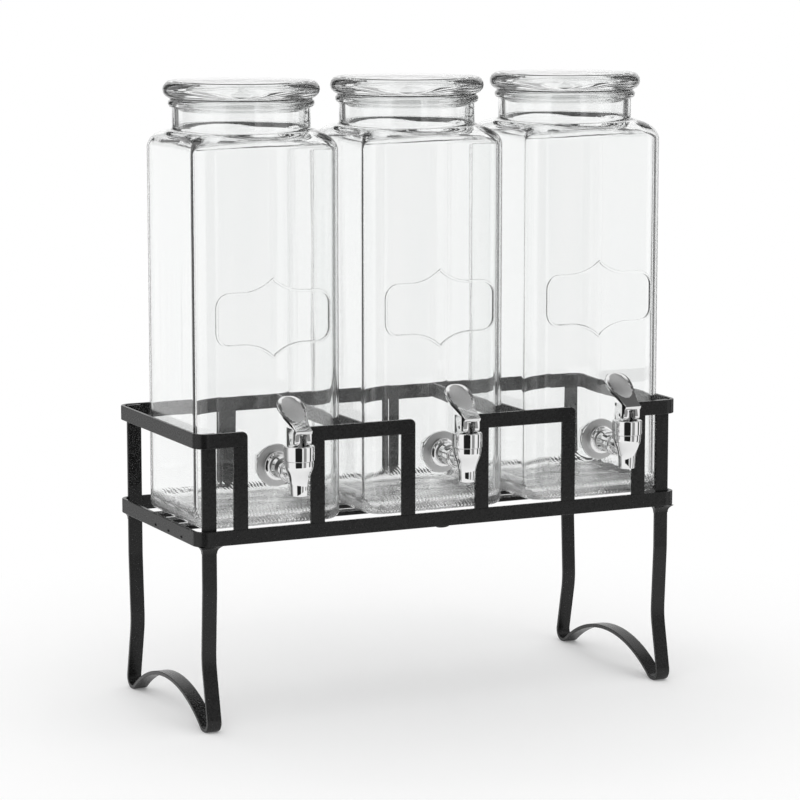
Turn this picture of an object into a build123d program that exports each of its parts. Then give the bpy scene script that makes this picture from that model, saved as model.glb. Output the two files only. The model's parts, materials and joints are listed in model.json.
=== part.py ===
from build123d import *
from math import cos, hypot, radians, sin, sqrt, tan, atan2
import os

# Triple beverage dispenser: three tall square glass jars, each with a glass lid and a
# chrome lever tap, standing side by side in a welded flat bar stand on two bent leg frames.
# Millimetres, +Z up, +X to the right seen from the taps, +Y to the back.
# The origin is on the floor, under the middle of the whole object.

os.makedirs("parts", exist_ok=True)

# One overrun serves every cut that has to run past a face.
overrun = 1.0

# The stand is bent and welded from one size of flat bar.
bar_width = 11.0
bar_thickness = 3.0
bar_edge_radius = 0.6
rail_corner_radius = 10.0
bottom_rail_height = 139.0
rail_spacing = 72.0
gate_corner_radius = 4.0
gate_end_length = 28.9
support_drop = 1.0
support_count = 3
support_pitch = 26.0
rear_post_left_offset = 25.0
rear_post_middle_offset = 29.4

# Each leg frame is one bar: down from the top rail, out to a foot and over an arch.
leg_side_gap = 2.8
leg_corner_clearance = 0.05
leg_top_drop = 0.5
leg_knee_height = 105.0
leg_waist_height = 52.0
leg_waist_inset = 3.0
leg_heel_flare = 8.0
foot_length = 13.0
leg_bend_radius = 60.0
heel_radius = 7.0
toe_radius = 8.0
arch_angle = 36.0
arch_run_share = 0.98

# Welds between the legs and the rails.
corner_weld_height = 8.0
corner_weld_leg = 2.6
leg_weld_height = 5.0
leg_weld_spread = 2.6
leg_weld_toe = 0.6
leg_weld_sag = 0.8

# Jars stand towards the front of the stand, so that their taps reach past it.
jar_side = 115.4
jar_gap = 19.6
jar_front_gap = 7.3
jar_rear_gap = 34.3
gate_half_width = 30.6
jar_corner_radius = 16.0
jar_wall = 4.0
jar_base_thickness = 6.0
jar_shoulder_height = 287.0
jar_shoulder_radius = 14.0
jar_base_radius = 8.0
jar_inner_base_radius = 6.0
jar_neck_height = 22.3
neck_inset = 6.5
neck_wall = 4.5
mouth_bead_overhang = 2.9
mouth_bead_height = 5.6
mouth_bead_round = 2.4

# A raised rib draws an empty ornamental frame on the front of each jar.
frame_rise = 153.4
frame_half_width = 44.4
frame_half_height = 19.0
frame_corner_radius = 10.0
frame_brow_half_width = 24.0
frame_brow_rise = 9.6
frame_rib_width = 1.6
frame_rib_height = 0.8

# The lid is a pressed glass disc with a fat round rim and a hollow plug.
lid_overhang = 3.8
lid_rim_radius = 6.4
lid_top_thickness = 6.5
plug_gap = 1.1
plug_wall = 4.6
plug_depth = 9.0
plug_edge_radius = 1.6
seal_flange_thickness = 0.8
seal_flange_width = 7.0
seal_bore_clearance = 0.3
seal_plug_clearance = 0.05
seal_skirt_depth = 7.0

# The tap is screwed through the front wall of its jar.
tap_rise = 45.5
tail_radius = 8.0
glass_hole_clearance = 0.3
thread_clearance = 0.05
washer_thickness = 2.0
outer_washer_inset = 1.2
inner_washer_radius = 13.0
nut_thickness = 5.0
nut_corner_radius = 13.5
tail_end_length = 2.5
flange_radius = 15.8
flange_edge = 2.2
flange_edge_radius = 0.8
bell_length = 9.0
bell_step = 3.6
bell_lip_radius = 1.6
shank_radius = 7.4
shank_collar_step = 1.3
shank_collar_length = 4.0
shank_ring_start = 26.0
barrel_reach = 45.3
shank_bore_radius = 3.2
valve_seat_step = 0.4

# The barrel carries the valve and the nozzle.
barrel_top_rise = 10.2
barrel_radius = 10.5
barrel_straight = 3.2
taper_height = 15.8
taper_upper_pull = 5.0
taper_lower_pull = 8.5
nozzle_radius = 6.5
nozzle_draft = 0.3
nozzle_length = 5.7
nozzle_wall = 2.0
spigot_shoulder = 1.5
spigot_end_gap = 0.5
chamber_wall = 2.8
bonnet_overhang = 0.7
bonnet_height = 10.8
bonnet_plate = 3.5
bonnet_chamfer = 0.8
bonnet_foot_chamfer = 0.5
running_clearance = 0.06

# Valve stem, its seal and its spring.
stem_radius = 2.5
stem_collar_inset = 1.2
stem_collar_thickness = 1.6
stem_nub_inset = 0.7
stem_nub_length = 1.0
stem_head_rise = 3.0
stem_head_round = 0.8
valve_seal_gap = 0.6
valve_seal_thickness = 2.2
spring_wall = 1.0
spring_stem_gap = 0.8

# The lever rocks forwards on an eccentric cam and lifts the stem by its pin.
pin_rise = 4.0
cam_offset = 3.5
pin_radius = 1.25
pin_clearance = 0.05
hub_width = 13.0
hub_back = 7.5
hub_height = 12.5
hub_edge_radius = 0.6
fork_side_clearance = 0.2
fork_top_clearance = 0.8
paddle_angle = 35.5
paddle_length = 36.5
paddle_thickness = 2.6
paddle_sag = 0.8
paddle_half_width = 10.4
paddle_tip_length = 13.0
paddle_root_length = 3.0
dish_length = 23.0
dish_half_width = 7.8
dish_depth = 1.0
dish_end_margin = 2.6

# Sizes that follow from the sizes above.
jar_pitch = jar_side + jar_gap
stand_width = 2 * (jar_pitch + gate_half_width + bar_width / 2 + gate_end_length)
stand_depth = jar_side + jar_front_gap + jar_rear_gap + 2 * bar_thickness
neck_radius = jar_side / 2 - neck_inset
lid_radius = neck_radius + mouth_bead_overhang + lid_overhang
outer_washer_radius = flange_radius - outer_washer_inset
bell_radius = flange_radius - bell_step
shank_collar_radius = shank_radius + shank_collar_step
nozzle_tip_radius = nozzle_radius - nozzle_draft
outlet_radius = nozzle_tip_radius - nozzle_wall
spigot_radius = barrel_radius - spigot_shoulder
spigot_height = bonnet_height - bonnet_plate - spigot_end_gap
chamber_radius = spigot_radius - chamber_wall
bonnet_radius = barrel_radius + bonnet_overhang
valve_seal_radius = chamber_radius - valve_seal_gap
stem_collar_radius = valve_seal_radius - stem_collar_inset
stem_nub_radius = stem_radius - stem_nub_inset

# Places that follow from the sizes above.
inner_width = stand_width - 2 * bar_thickness
inner_depth = stand_depth - 2 * bar_thickness
inner_corner_radius = rail_corner_radius - bar_thickness
bottom_rail_top = bottom_rail_height + bar_width
top_rail_height = bottom_rail_height + rail_spacing
top_rail_top = top_rail_height + bar_width

# A leg's outer face just meets the inside of the rail's bent corner.
leg_x = inner_width / 2 - leg_side_gap - bar_width / 2
leg_corner_x = inner_corner_radius - leg_side_gap
leg_corner_y = inner_depth / 2 - inner_corner_radius + sqrt(inner_corner_radius**2 - leg_corner_x**2)
leg_outer_y = leg_corner_y - leg_corner_clearance
leg_post_y = leg_outer_y - bar_thickness / 2
leg_waist_y = leg_post_y - leg_waist_inset
leg_heel_y = leg_post_y + leg_heel_flare
leg_toe_y = leg_heel_y - foot_length
foot_line = bar_thickness / 2
heel_angle = atan2(leg_waist_height - foot_line, leg_heel_y - leg_waist_y)
heel_setback = heel_radius / tan(heel_angle / 2)
foot_reach = leg_heel_y - heel_setback + heel_radius + bar_thickness / 2

# The whole object is centred between the front of the taps and the back feet.
jar_height = jar_shoulder_height + jar_neck_height
jar_y_offset = (jar_front_gap - jar_rear_gap) / 2
front_extent = jar_side / 2 - jar_y_offset + barrel_reach + bonnet_radius
rear_extent = max(foot_reach, stand_depth / 2)
stand_y = (front_extent - rear_extent) / 2
front_bar_y = stand_y - stand_depth / 2 + bar_thickness / 2
rear_bar_y = stand_y + stand_depth / 2 - bar_thickness / 2
jar_xs = [-jar_pitch, 0, jar_pitch]
jar_y = stand_y + jar_y_offset
jar_base = bottom_rail_top - support_drop
shoulder_top = jar_base + jar_shoulder_height
mouth_top = jar_base + jar_height
frame_height = jar_base + frame_rise
tap_height = jar_base + tap_rise
barrel_top_height = tap_height + barrel_top_rise
neck_bore_radius = neck_radius - neck_wall
glass_front = jar_y - jar_side / 2
lid_underside = mouth_top + seal_flange_thickness
lid_top = lid_underside + 2 * lid_rim_radius
plug_radius = neck_bore_radius - plug_gap
barrel_y = glass_front - barrel_reach
nozzle_top = barrel_top_height - barrel_straight - taper_height
outlet_height = nozzle_top - nozzle_length
bonnet_top = barrel_top_height + bonnet_height
bonnet_ceiling = bonnet_top - bonnet_plate
seat_height = tap_height - shank_bore_radius - valve_seat_step
seal_top = seat_height + valve_seal_thickness
collar_top = seal_top + stem_collar_thickness
pin_height = bonnet_top + pin_rise
hub_front = cam_offset + pin_rise


def save(piece, name):
    """Label a finished piece and write its file."""
    piece.part.label = name
    export_step(piece.part, "parts/" + name + ".step")
    print(name, "volume", round(piece.part.volume, 1))


def flat_bar(name, centre, size, long_axis):
    """Make one straight length of flat bar with softened long edges."""
    with BuildPart() as bar:
        with Locations(centre):
            Box(*size)
        fillet(bar.edges().filter_by(long_axis), radius=bar_edge_radius)
    save(bar, name)


def front_bar(name, left, right):
    """Make the short bar over two gate posts, rounded at its upper right corner."""
    with BuildPart() as bar:
        with Locations(((left + right) / 2, front_bar_y, top_rail_height + bar_width / 2)):
            Box(right - left, bar_thickness, bar_width)
        upper_corners = bar.edges().filter_by(Axis.Y).group_by(Axis.Z)[-1]
        fillet(upper_corners.sort_by(Axis.X)[-1], radius=gate_corner_radius)
        fillet(bar.edges().filter_by(Axis.X), radius=bar_edge_radius)
    save(bar, name)


# Bottom rail: one bar bent to a rounded rectangle, standing on its edge.
with BuildPart() as bottom_rail:
    with BuildSketch(Plane((0, stand_y, bottom_rail_height))):
        RectangleRounded(stand_width, stand_depth, rail_corner_radius)
        RectangleRounded(inner_width, inner_depth, inner_corner_radius, mode=Mode.SUBTRACT)
    extrude(amount=bar_width)
    fillet(bottom_rail.edges().filter_by(Plane.XY), radius=bar_edge_radius)
save(bottom_rail, "bottom_rail")

# Top rail: the same bend, open at the front from the first gate post to the last.
gate_reach = jar_pitch + gate_half_width - bar_width / 2
with BuildPart() as top_rail:
    with BuildSketch(Plane((0, stand_y, top_rail_height))):
        RectangleRounded(stand_width, stand_depth, rail_corner_radius)
        RectangleRounded(inner_width, inner_depth, inner_corner_radius, mode=Mode.SUBTRACT)
        with Locations((0, -inner_depth / 2)):
            Rectangle(2 * gate_reach, 2 * rail_corner_radius, mode=Mode.SUBTRACT)
    extrude(amount=bar_width)
    side_faces = top_rail.faces().filter_by(Axis.X)
    bar_ends = side_faces.filter_by(lambda face: abs(face.center().X) < gate_reach + overrun)
    left_end = bar_ends.sort_by(Axis.X)[0]
    fillet(left_end.edges().filter_by(Axis.Y).sort_by(Axis.Z)[-1], radius=gate_corner_radius)
    level_edges = top_rail.edges().filter_by(Plane.XY).filter_by(Axis.Y, reverse=True)
    depth_edges = top_rail.edges().filter_by(Axis.Y)
    long_edges = depth_edges.filter_by(lambda edge: edge.length > bar_thickness + overrun)
    fillet(level_edges + long_edges, radius=bar_edge_radius)
save(top_rail, "top_rail")

# Gate posts: a pair stands in front of each jar, with the tap between them.
post_height = rail_spacing - bar_width
post_middle = (bottom_rail_top + top_rail_height) / 2
gate_xs = [jar_x + side * gate_half_width for jar_x in jar_xs for side in (-1, 1)]
for number, post_x in enumerate(gate_xs, start=1):
    flat_bar(
        "front_post_" + str(number),
        (post_x, front_bar_y, post_middle),
        (bar_width, bar_thickness, post_height),
        Axis.Z,
    )

# Two short bars close the top between neighbouring gates.
for side, left_x, right_x in (("left", gate_xs[1], gate_xs[2]), ("right", gate_xs[3], gate_xs[4])):
    front_bar("front_bar_" + side, left_x - bar_width / 2, right_x + bar_width / 2)

# Only two posts stand at the back, behind the left and the middle jar.
rear_xs = [jar_xs[0] + rear_post_left_offset, jar_xs[1] + rear_post_middle_offset]
for number, post_x in enumerate(rear_xs, start=1):
    flat_bar(
        "rear_post_" + str(number),
        (post_x, rear_bar_y, post_middle),
        (bar_width, bar_thickness, post_height),
        Axis.Z,
    )

# Dividers run from front to back between neighbouring jars.
for side, sign in (("left", -1), ("right", 1)):
    flat_bar(
        "divider_" + side,
        (sign * jar_pitch / 2, stand_y, top_rail_height + bar_width / 2),
        (bar_thickness, inner_depth, bar_width),
        Axis.Y,
    )

# Three flat bars run lengthwise under the jars and carry them.
for number in range(support_count):
    support_y = jar_y + (number - (support_count - 1) / 2) * support_pitch
    flat_bar(
        "support_bar_" + str(number + 1),
        (0, support_y, jar_base - bar_thickness / 2),
        (inner_width, bar_width, bar_thickness),
        Axis.X,
    )


def leg_frame(name, frame_x):
    """Bend one bar down a post, round its foot, over the arch and up the other post."""
    arch_slope = radians(arch_angle)
    toe_setback = toe_radius * tan(arch_slope / 2)
    arch_radius = arch_run_share * (leg_toe_y / cos(arch_slope) - toe_setback) / tan(arch_slope)
    near_side = [
        (-leg_post_y, top_rail_top - leg_top_drop),
        (-leg_post_y, leg_knee_height),
        (-leg_waist_y, leg_waist_height),
        (-leg_heel_y, foot_line),
        (-leg_toe_y, foot_line),
    ]
    crown = [(0, foot_line + leg_toe_y * tan(arch_slope))]
    far_side = [(-y, z) for y, z in reversed(near_side)]
    bends = [leg_bend_radius, leg_bend_radius, heel_radius, toe_radius]
    with BuildPart() as frame:
        with BuildSketch(Plane((frame_x, stand_y, 0), x_dir=(0, 1, 0), z_dir=(1, 0, 0))):
            with BuildLine():
                FilletPolyline(
                    near_side + crown + far_side,
                    radius=bends + [arch_radius] + bends[::-1],
                )
            trace(line_width=bar_thickness)
        extrude(amount=bar_width / 2, both=True)
        fillet(frame.edges().filter_by(Plane.YZ), radius=bar_edge_radius)
    save(frame, name)


leg_frame("leg_frame_left", -leg_x)
leg_frame("leg_frame_right", leg_x)

# One flared bead, where the front right leg leaves the bottom rail.
leg_inner_x = leg_x - bar_width / 2
bead_top_half = bar_width / 2 + leg_weld_spread
bead_foot_half = bar_width / 2 + leg_weld_toe
bead_foot = bottom_rail_height - leg_weld_height
with BuildPart() as leg_bead:
    with BuildSketch(Plane((leg_x, stand_y, 0), x_dir=(1, 0, 0), z_dir=(0, -1, 0))):
        with BuildLine():
            top = Line((-bead_top_half, bottom_rail_height), (bead_top_half, bottom_rail_height))
            right = SagittaArc(top @ 1, (bead_foot_half, bead_foot), leg_weld_sag)
            foot = Line(right @ 1, (-bead_foot_half, bead_foot))
            SagittaArc(foot @ 1, top @ 0, leg_weld_sag)
        make_face()
    extrude(amount=stand_depth / 2)
    with BuildSketch(Plane((leg_x, stand_y, 0), x_dir=(0, -1, 0), z_dir=(-1, 0, 0))):
        with BuildLine():
            Polyline(
                (stand_depth / 2 - bar_edge_radius, bottom_rail_height),
                (leg_outer_y + leg_weld_toe, bead_foot),
                (leg_post_y, bead_foot),
                (leg_post_y, bottom_rail_height),
                close=True,
            )
        make_face()
    extrude(amount=bead_top_half, both=True, mode=Mode.INTERSECT)
    with Locations((leg_x, stand_y - leg_post_y, bottom_rail_height)):
        Box(bar_width, bar_thickness, 2 * bar_width, mode=Mode.SUBTRACT)

# Welds: a fillet in each rail corner at both levels, and a bead under each corner.
corner_flat_x = inner_width / 2 - inner_corner_radius
with BuildPart() as stand_welds:
    add(leg_bead.part)
    for rail_height in (bottom_rail_height, top_rail_height):
        weld_start = rail_height + (bar_width - corner_weld_height) / 2
        with BuildSketch(Plane((0, stand_y, weld_start))):
            with BuildLine():
                Polyline(
                    (corner_flat_x, -leg_outer_y),
                    (leg_inner_x, -leg_outer_y),
                    (leg_inner_x, corner_weld_leg - inner_depth / 2),
                    (leg_inner_x - corner_weld_leg, -inner_depth / 2),
                    (corner_flat_x, -inner_depth / 2),
                    close=True,
                )
            make_face()
        extrude(amount=corner_weld_height)
    mirror(about=Plane.YZ)
    mirror(about=Plane((0, stand_y, 0), x_dir=(1, 0, 0), z_dir=(0, -1, 0)))
save(stand_welds, "stand_welds")


def jar_hollow(jar_x):
    """Return the space inside a jar, up to the top of its neck."""
    inner_side = jar_side - 2 * jar_wall
    with BuildPart() as hollow:
        with BuildSketch(Plane((jar_x, jar_y, jar_base + jar_base_thickness))):
            RectangleRounded(inner_side, inner_side, jar_corner_radius - jar_wall)
        extrude(amount=jar_shoulder_height - jar_wall - jar_base_thickness)
        fillet(hollow.faces().sort_by(Axis.Z)[-1].edges(), radius=jar_shoulder_radius - jar_wall)
        fillet(hollow.faces().sort_by(Axis.Z)[0].edges(), radius=jar_inner_base_radius)
        with BuildSketch(Plane((jar_x, jar_y, shoulder_top - jar_shoulder_radius))):
            Circle(neck_bore_radius)
        extrude(amount=mouth_top - shoulder_top + jar_shoulder_radius + overrun)
    return hollow.part


def jar(number, jar_x):
    """Make one square glass jar with its neck, mouth bead, ornament and tap hole."""
    bead_radius = neck_radius + mouth_bead_overhang
    hollow = jar_hollow(jar_x)
    with BuildPart() as glass:
        with BuildSketch(Plane((jar_x, jar_y, jar_base))):
            RectangleRounded(jar_side, jar_side, jar_corner_radius)
        extrude(amount=jar_shoulder_height)
        fillet(glass.faces().sort_by(Axis.Z)[-1].edges(), radius=jar_shoulder_radius)
        fillet(glass.faces().sort_by(Axis.Z)[0].edges(), radius=jar_base_radius)

        # The neck rises out of the shoulder and ends in a round bead.
        with BuildSketch(Plane((jar_x, jar_y, shoulder_top - jar_shoulder_radius))):
            Circle(neck_radius)
        extrude(amount=mouth_top - shoulder_top + jar_shoulder_radius)
        with BuildSketch(Plane((jar_x, jar_y, mouth_top - mouth_bead_height))):
            Circle(bead_radius)
        extrude(amount=mouth_bead_height)
        round_edges = glass.edges().filter_by(GeomType.CIRCLE)
        bead_edges = round_edges.filter_by(lambda edge: edge.radius > bead_radius - overrun)
        fillet(bead_edges, radius=mouth_bead_round)

        # The ornament: round corners at the sides, an ogee point above and below.
        rib_foot = glass_front + jar_wall / 2
        with BuildSketch(Plane((jar_x, rib_foot, frame_height), x_dir=(1, 0, 0), z_dir=(0, -1, 0))):
            with BuildLine():
                corner_foot = (frame_half_width, frame_half_height - frame_corner_radius)
                corner_head = (frame_half_width - frame_corner_radius, frame_half_height)
                brow_start = (frame_brow_half_width, frame_half_height)
                Line((frame_half_width, 0), corner_foot)
                TangentArc(corner_foot, corner_head, tangent=(0, 1))
                Line(corner_head, brow_start)
                TangentArc(brow_start, (0, frame_half_height + frame_brow_rise), tangent=(-1, 0))
                mirror(about=Plane.YZ)
                mirror(about=Plane.XZ)
            panel = make_face()
            offset(panel, amount=frame_rib_width / 2)
            offset(panel, amount=-frame_rib_width / 2, mode=Mode.SUBTRACT)
        extrude(amount=jar_wall / 2 + frame_rib_height)

        add(hollow, mode=Mode.SUBTRACT)
        with BuildSketch(Plane((jar_x, glass_front - overrun, tap_height), z_dir=(0, 1, 0))):
            Circle(tail_radius + glass_hole_clearance)
        extrude(amount=jar_wall + 2 * overrun, mode=Mode.SUBTRACT)
    save(glass, "jar_" + str(number))


def turned(name, axis_x, axis_y, outline):
    """Turn a piece about an upright axis, from the radii and heights of its outline."""
    with BuildPart() as piece:
        with BuildSketch(Plane((axis_x, axis_y, 0), x_dir=(1, 0, 0), z_dir=(0, -1, 0))):
            with BuildLine():
                Polyline(*outline, close=True)
            make_face()
        revolve(axis=Axis((axis_x, axis_y, 0), (0, 0, 1)))
    save(piece, name)


def lid(number, jar_x):
    """Make one pressed glass lid with its hollow plug."""
    rim_x = lid_radius - lid_rim_radius
    plug_foot = lid_underside - plug_depth
    hollow_radius = plug_radius - plug_wall
    hollow_top = lid_top - lid_top_thickness
    with BuildPart() as glass:
        with BuildSketch(Plane((jar_x, jar_y, 0), x_dir=(1, 0, 0), z_dir=(0, -1, 0))) as section:
            with BuildLine():
                Polyline((0, hollow_top), (0, lid_top), (rim_x, lid_top))
                CenterArc((rim_x, lid_top - lid_rim_radius), lid_rim_radius, 90, -180)
                Polyline(
                    (rim_x, lid_underside),
                    (plug_radius, lid_underside),
                    (plug_radius, plug_foot),
                    (hollow_radius, plug_foot),
                    (hollow_radius, hollow_top),
                    (0, hollow_top),
                )
            make_face()
            plug_corners = section.vertices().group_by(Axis.Y)[0]
            hollow_corner = section.vertices().sort_by_distance((hollow_radius, hollow_top))[0]
            fillet([*plug_corners, hollow_corner], radius=plug_edge_radius)
        revolve(axis=Axis((jar_x, jar_y, 0), (0, 0, 1)))
    save(glass, "lid_" + str(number))


def lid_seal(number, jar_x):
    """Make the silicone ring that grips the plug and seals the jar's mouth."""
    inner_radius = plug_radius + seal_plug_clearance
    flange_edge_x = inner_radius + seal_flange_width
    skirt_radius = neck_bore_radius - seal_bore_clearance
    skirt_foot = lid_underside - seal_skirt_depth
    outline = [
        (inner_radius, lid_underside),
        (flange_edge_x, lid_underside),
        (flange_edge_x, mouth_top),
        (skirt_radius, mouth_top),
        (skirt_radius, skirt_foot),
        (inner_radius, skirt_foot),
    ]
    turned("lid_seal_" + str(number), jar_x, jar_y, outline)


def tap_body(number, jar_x):
    """Make the tap's casting: threaded tail, bell flange, shank, barrel and nozzle."""
    tail_length = jar_wall + washer_thickness + nut_thickness + tail_end_length
    bell_start = washer_thickness + flange_edge
    bell_end = bell_start + bell_length
    shank_line = Plane((jar_x, glass_front, tap_height), x_dir=(0, -1, 0), z_dir=(-1, 0, 0))
    upright = Plane((jar_x, barrel_y, 0), x_dir=(1, 0, 0), z_dir=(0, -1, 0))
    with BuildPart() as body:
        # The shank is turned about a level axis, from its tail to the barrel.
        with BuildSketch(shank_line) as shank:
            with BuildLine():
                Polyline(
                    (-tail_length, 0),
                    (-tail_length, tail_radius),
                    (washer_thickness, tail_radius),
                    (washer_thickness, flange_radius),
                    (bell_start, flange_radius),
                    (bell_end, bell_radius),
                    (bell_end, shank_collar_radius),
                    (bell_end + shank_collar_length, shank_collar_radius),
                    (bell_end + shank_collar_length, shank_radius),
                    (shank_ring_start, shank_radius),
                    (shank_ring_start, shank_collar_radius),
                    (shank_ring_start + shank_collar_length, shank_collar_radius),
                    (shank_ring_start + shank_collar_length, shank_radius),
                    (barrel_reach, shank_radius),
                    (barrel_reach, 0),
                    close=True,
                )
            make_face()
            flange_corner = shank.vertices().sort_by_distance((bell_start, flange_radius))[0]
            fillet(flange_corner, radius=flange_edge_radius)
            bell_corner = shank.vertices().sort_by_distance((bell_end, bell_radius))[0]
            fillet(bell_corner, radius=bell_lip_radius)
        revolve(axis=Axis((jar_x, glass_front, tap_height), (0, -1, 0)))

        # The barrel is turned about an upright axis and tapers into the nozzle.
        with BuildSketch(upright):
            with BuildLine():
                Polyline(
                    (0, outlet_height),
                    (nozzle_tip_radius, outlet_height),
                    (nozzle_radius, nozzle_top),
                )
                Bezier(
                    (nozzle_radius, nozzle_top),
                    (nozzle_radius, nozzle_top + taper_lower_pull),
                    (barrel_radius, barrel_top_height - barrel_straight - taper_upper_pull),
                    (barrel_radius, barrel_top_height - barrel_straight),
                )
                Polyline(
                    (barrel_radius, barrel_top_height - barrel_straight),
                    (barrel_radius, barrel_top_height),
                    (spigot_radius, barrel_top_height),
                    (spigot_radius, barrel_top_height + spigot_height),
                    (0, barrel_top_height + spigot_height),
                    (0, outlet_height),
                )
            make_face()
        revolve(axis=Axis((jar_x, barrel_y, 0), (0, 0, 1)))

        # The drink's way: through the shank, over the valve seat and out of the nozzle.
        with BuildSketch(Plane((jar_x, glass_front + tail_length + overrun, tap_height), z_dir=(0, -1, 0))):
            Circle(shank_bore_radius)
        extrude(amount=tail_length + overrun + barrel_reach, mode=Mode.SUBTRACT)
        with BuildSketch(Plane((jar_x, barrel_y, seat_height))):
            Circle(chamber_radius)
        extrude(amount=barrel_top_height + spigot_height + overrun - seat_height, mode=Mode.SUBTRACT)
        with BuildSketch(Plane((jar_x, barrel_y, outlet_height - overrun))):
            Circle(outlet_radius)
        extrude(amount=seat_height + 2 * overrun - outlet_height, mode=Mode.SUBTRACT)
    save(body, "tap_body_" + str(number))


def washer(name, jar_x, start, outer_radius):
    """Make a flat washer on the tap's tail, from a distance in front of the glass."""
    with BuildPart() as ring:
        with BuildSketch(Plane((jar_x, glass_front - start, tap_height), z_dir=(0, -1, 0))):
            Circle(outer_radius)
            Circle(tail_radius + thread_clearance, mode=Mode.SUBTRACT)
        extrude(amount=washer_thickness)
    save(ring, name)


def tap_nut(number, jar_x):
    """Make the hexagon nut that clamps the tap to the inside of the glass."""
    nut_back = glass_front + jar_wall + washer_thickness + nut_thickness
    with BuildPart() as nut:
        with BuildSketch(Plane((jar_x, nut_back, tap_height), z_dir=(0, -1, 0))):
            RegularPolygon(nut_corner_radius, 6)
            Circle(tail_radius + thread_clearance, mode=Mode.SUBTRACT)
        extrude(amount=nut_thickness)
    save(nut, "tap_nut_" + str(number))


def bonnet(number, jar_x):
    """Make the cap that closes the barrel and guides the stem."""
    outline = [
        (stem_radius + running_clearance, bonnet_top),
        (bonnet_radius - bonnet_chamfer, bonnet_top),
        (bonnet_radius, bonnet_top - bonnet_chamfer),
        (bonnet_radius, barrel_top_height + bonnet_foot_chamfer),
        (bonnet_radius - bonnet_foot_chamfer, barrel_top_height),
        (spigot_radius + running_clearance, barrel_top_height),
        (spigot_radius + running_clearance, bonnet_ceiling),
        (stem_radius + running_clearance, bonnet_ceiling),
    ]
    turned("bonnet_" + str(number), jar_x, barrel_y, outline)


def valve_stem(number, jar_x):
    """Make the stem: a nub in the outlet, a collar on the seal and a cross-bored head."""
    head_top = pin_height + stem_head_rise
    with BuildPart() as stem:
        with BuildSketch(Plane((jar_x, barrel_y, 0), x_dir=(1, 0, 0), z_dir=(0, -1, 0))):
            with BuildLine():
                Polyline(
                    (0, seat_height - stem_nub_length),
                    (stem_nub_radius, seat_height - stem_nub_length),
                    (stem_nub_radius, seal_top),
                    (stem_collar_radius, seal_top),
                    (stem_collar_radius, collar_top),
                    (stem_radius, collar_top),
                    (stem_radius, head_top - stem_head_round),
                    (stem_radius - stem_head_round, head_top),
                    (0, head_top),
                    close=True,
                )
            make_face()
        revolve(axis=Axis((jar_x, barrel_y, 0), (0, 0, 1)))
        with BuildSketch(Plane((jar_x - stem_radius - overrun, barrel_y, pin_height), z_dir=(1, 0, 0))):
            Circle(pin_radius + pin_clearance)
        extrude(amount=2 * (stem_radius + overrun), mode=Mode.SUBTRACT)
    save(stem, "valve_stem_" + str(number))


def ring(name, jar_x, inner_radius, outer_radius, foot, head):
    """Make a plain upright ring about the barrel's axis."""
    outline = [(inner_radius, foot), (outer_radius, foot), (outer_radius, head), (inner_radius, head)]
    turned(name, jar_x, barrel_y, outline)


def lever_pin(number, jar_x):
    """Make the cross pin that joins the lever to the stem."""
    with BuildPart() as pin:
        with BuildSketch(Plane((jar_x - hub_width / 2, barrel_y, pin_height), z_dir=(1, 0, 0))):
            Circle(pin_radius)
        extrude(amount=hub_width)
    save(pin, "lever_pin_" + str(number))


def lever_paddle(jar_x):
    """Return the curved, dished paddle, rising backwards from the front of the hub."""
    slope = radians(paddle_angle)
    along = Vector(-cos(slope), sin(slope))
    outward = Vector(sin(slope), cos(slope))
    root = Vector(hub_front, hub_height)
    tip = root + along * paddle_length
    waist = root + along * (paddle_length / 2) - outward * paddle_sag
    under = outward * paddle_thickness
    side_plane = Plane((jar_x, barrel_y, bonnet_top), x_dir=(0, -1, 0), z_dir=(-1, 0, 0))
    flat_plane = Plane(
        (jar_x, barrel_y - hub_front, bonnet_top + hub_height),
        x_dir=(1, 0, 0),
        z_dir=(0, -sin(slope), cos(slope)),
    )

    # The dish is scooped by a barrel shape turned about an axis above the paddle.
    scoop_radius = (dish_half_width**2 + dish_depth**2) / (2 * dish_depth)
    scoop_middle = paddle_length - dish_end_margin - dish_length / 2
    scoop_axis = root + along * scoop_middle + outward * (scoop_radius - dish_depth - paddle_sag)
    scoop_half = along * (dish_length / 2)
    scoop_end = outward * (scoop_radius - dish_depth)

    with BuildPart() as paddle:
        with BuildSketch(flat_plane):
            with BuildLine():
                base = Line((hub_width / 2, -overrun), (hub_width / 2, paddle_root_length))
                flare_end = (paddle_half_width, paddle_length - paddle_tip_length)
                Bezier(
                    base @ 1,
                    (hub_width / 2, (paddle_root_length + flare_end[1]) / 2),
                    (paddle_half_width, (paddle_root_length + flare_end[1]) / 2),
                    flare_end,
                )
                EllipticalCenterArc((0, flare_end[1]), paddle_half_width, paddle_tip_length, 0, arc_size=90)
                mirror(about=Plane.YZ)
                Line((hub_width / 2, -overrun), (-hub_width / 2, -overrun))
            make_face()
        extrude(amount=paddle_length / 2, both=True)
        with BuildSketch(side_plane):
            with BuildLine():
                ThreePointArc(root, waist, tip)
                Line(tip, tip - under)
                ThreePointArc(tip - under, waist - under, root - under)
                Line(root - under, root)
            make_face()
        extrude(amount=paddle_half_width + overrun, both=True, mode=Mode.INTERSECT)
        with BuildSketch(side_plane):
            with BuildLine():
                ThreePointArc(
                    scoop_axis - scoop_half - scoop_end,
                    scoop_axis - outward * scoop_radius,
                    scoop_axis + scoop_half - scoop_end,
                )
                Polyline(
                    scoop_axis + scoop_half - scoop_end,
                    scoop_axis + scoop_half,
                    scoop_axis - scoop_half,
                    scoop_axis - scoop_half - scoop_end,
                )
            make_face()
        turning_point = side_plane.from_local_coords(scoop_axis)
        revolve(axis=Axis(turning_point, (0, cos(slope), sin(slope))), mode=Mode.SUBTRACT)
    return paddle.part


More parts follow.
